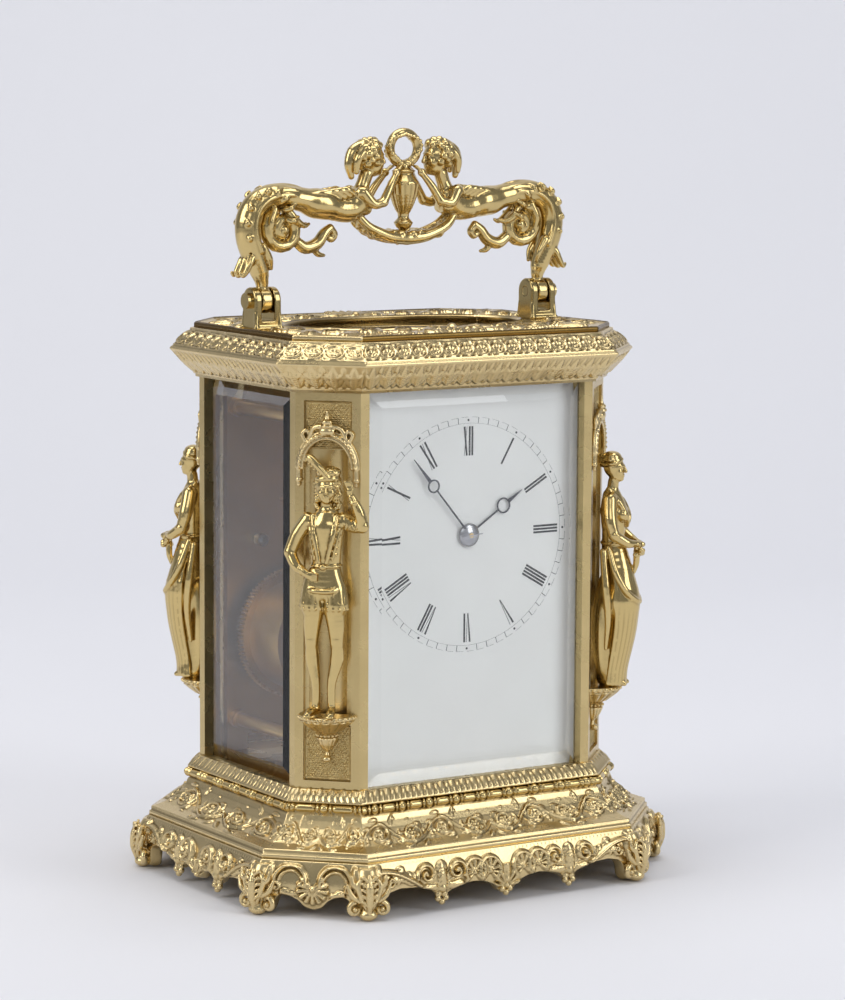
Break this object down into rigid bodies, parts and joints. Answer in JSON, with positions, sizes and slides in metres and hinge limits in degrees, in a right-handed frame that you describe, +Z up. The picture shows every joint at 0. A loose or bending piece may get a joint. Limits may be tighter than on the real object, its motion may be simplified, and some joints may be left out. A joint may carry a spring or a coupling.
{
  "type": "carriage clock",
  "caption": "Gilt carriage clock with bevelled glass panels, figures in niches at the canted corners, a folding scroll handle, hinged rear door and working wheel trains.",
  "frame": {"origin": "centre of the footprint at floor level, under the middle of the case", "axes": "+Z up, -Y towards the dial side, +X to the viewer's right when facing the dial"},
  "size_m": [0.1232, 0.1024, 0.1907],
  "materials": {
    "gilt_brass": "satin",
    "gilt_relief": "satin",
    "plate_brass": "satin",
    "wheel_brass": "polished",
    "polished_steel": "polished",
    "blued_steel": "satin",
    "bevelled_glass": "polished",
    "enamel": "gloss"
  },
  "bodies": {
    "case": {"base_apron": "gilt_brass", "base_plinth": "gilt_brass", "bead_moulding": "gilt_relief", "base_plate": "gilt_brass", "post_front_left": "gilt_brass", "post_front_right": "gilt_brass", "post_rear_left": "gilt_brass", "post_rear_right": "gilt_brass", "figure_page_front": "gilt_relief", "figure_lady_front": "gilt_relief", "figure_lady_rear": "gilt_relief", "figure_page_rear": "gilt_relief", "niche_front_left": "gilt_relief", "niche_front_right": "gilt_relief", "niche_rear_left": "gilt_relief", "niche_rear_right": "gilt_relief", "front_glass": "bevelled_glass", "left_glass": "bevelled_glass", "right_glass": "bevelled_glass", "cornice": "gilt_brass", "top_plate": "gilt_brass", "top_glass": "bevelled_glass", "lug_left": "gilt_brass", "lug_right": "gilt_brass", "handle_pins": "polished_steel", "door_pins": "polished_steel", "dial": "enamel", "front_plate": "plate_brass", "back_plate": "plate_brass", "plate_pillars": "plate_brass", "plate_screws": "blued_steel", "platform": "plate_brass", "balance_cock": "plate_brass", "hairspring": "blued_steel", "gong": "blued_steel"},
    "door": {"door_frame": "gilt_brass", "door_glass": "bevelled_glass", "door_knob": "gilt_brass"},
    "handle": {"handle": "gilt_relief"},
    "centre_arbor": {"centre_wheel": "wheel_brass", "cannon_pinion": "polished_steel", "minute_hand": "blued_steel", "hand_collet": "polished_steel"},
    "hour_pipe": {"hour_wheel": "wheel_brass", "hour_hand": "blued_steel"},
    "motion_wheel": {"minute_wheel": "wheel_brass"},
    "going_barrel": {"going_barrel": "plate_brass"},
    "second_arbor": {"second_wheel": "wheel_brass"},
    "third_arbor": {"third_wheel": "wheel_brass"},
    "contrate_arbor": {"contrate_wheel": "wheel_brass"},
    "escape_arbor": {"escape_wheel": "wheel_brass"},
    "lever": {"pallet_lever": "polished_steel"},
    "balance": {"balance_wheel": "wheel_brass"},
    "strike_barrel": {"strike_barrel": "plate_brass"},
    "strike_second_arbor": {"strike_second_wheel": "wheel_brass"},
    "pin_wheel_arbor": {"strike_pin_wheel": "wheel_brass"},
    "fly_arbor": {"strike_fly": "wheel_brass"},
    "hammer": {"hammer": "polished_steel"}
  },
  "joints": [
    {"name": "minute_turn", "type": "hinge", "parent": "case", "child": "centre_arbor", "pos_m": [0, 0, 0.0896], "axis": [0, 1, 0], "continuous": true},
    {"name": "hour_turn", "type": "hinge", "parent": "case", "child": "hour_pipe", "pos_m": [0, 0, 0.0896], "axis": [0, 1, 0], "continuous": true},
    {"name": "motion_wheel_turn", "type": "hinge", "parent": "case", "child": "motion_wheel", "pos_m": [-0.00495, 0, 0.08465], "axis": [0, 1, 0], "continuous": true},
    {"name": "going_barrel_turn", "type": "hinge", "parent": "case", "child": "going_barrel", "pos_m": [0.0183, 0, 0.0596], "axis": [0, 1, 0], "continuous": true},
    {"name": "second_turn", "type": "hinge", "parent": "case", "child": "second_arbor", "pos_m": [0.01128, 0, 0.07715], "axis": [0, 1, 0], "continuous": true},
    {"name": "third_turn", "type": "hinge", "parent": "case", "child": "third_arbor", "pos_m": [0.00586, 0, 0.10143], "axis": [0, 1, 0], "continuous": true},
    {"name": "contrate_turn", "type": "hinge", "parent": "case", "child": "contrate_arbor", "pos_m": [0, 0, 0.111], "axis": [0, 1, 0], "continuous": true},
    {"name": "escape_turn", "type": "hinge", "parent": "case", "child": "escape_arbor", "pos_m": [0, -0.003, 0], "axis": [0, 0, 1], "continuous": true},
    {"name": "lever_swing", "type": "hinge", "parent": "case", "child": "lever", "pos_m": [0, 0.0032, 0], "axis": [0, 0, 1], "range_deg": [-5, 5]},
    {"name": "balance_swing", "type": "hinge", "parent": "case", "child": "balance", "pos_m": [0, 0.0095, 0], "axis": [0, 0, 1], "range_deg": [-150, 150], "stiffness_Nm_per_rad": 0.0002},
    {"name": "pin_wheel_turn", "type": "hinge", "parent": "case", "child": "pin_wheel_arbor", "pos_m": [-0.02, 0, 0.0942], "axis": [0, 1, 0], "continuous": true},
    {"name": "strike_second_turn", "type": "hinge", "parent": "case", "child": "strike_second_arbor", "pos_m": [-0.0149, 0, 0.07819], "axis": [0, 1, 0], "continuous": true},
    {"name": "strike_barrel_turn", "type": "hinge", "parent": "case", "child": "strike_barrel", "pos_m": [-0.0183, 0, 0.0596], "axis": [0, 1, 0], "continuous": true},
    {"name": "fly_turn", "type": "hinge", "parent": "case", "child": "fly_arbor", "pos_m": [-0.0181, 0, 0.10353], "axis": [0, 1, 0], "continuous": true},
    {"name": "hammer_swing", "type": "hinge", "parent": "case", "child": "hammer", "pos_m": [-0.027, 0, 0.084], "axis": [0, 1, 0], "range_deg": [-8, 5]},
    {"name": "door_swing", "type": "hinge", "parent": "case", "child": "door", "pos_m": [0.0295, 0.03365, 0], "axis": [0, 0, -1], "range_deg": [0, 90]},
    {"name": "handle_fold", "type": "hinge", "parent": "case", "child": "handle", "pos_m": [0, 0, 0.1476], "axis": [1, 0, 0], "range_deg": [-90, 90]}
  ],
  "couplings": [
    {"joint": "hour_turn", "follows": "minute_turn", "ratio": 0.083333},
    {"joint": "motion_wheel_turn", "follows": "minute_turn", "ratio": -0.33333},
    {"joint": "going_barrel_turn", "follows": "minute_turn", "ratio": 0.017857},
    {"joint": "second_turn", "follows": "minute_turn", "ratio": -0.14286},
    {"joint": "third_turn", "follows": "minute_turn", "ratio": -10},
    {"joint": "contrate_turn", "follows": "minute_turn", "ratio": 75},
    {"joint": "escape_turn", "follows": "minute_turn", "ratio": 600},
    {"joint": "strike_second_turn", "follows": "pin_wheel_turn", "ratio": -0.14286},
    {"joint": "strike_barrel_turn", "follows": "pin_wheel_turn", "ratio": 0.017857},
    {"joint": "fly_turn", "follows": "pin_wheel_turn", "ratio": -7.5}
  ]
}
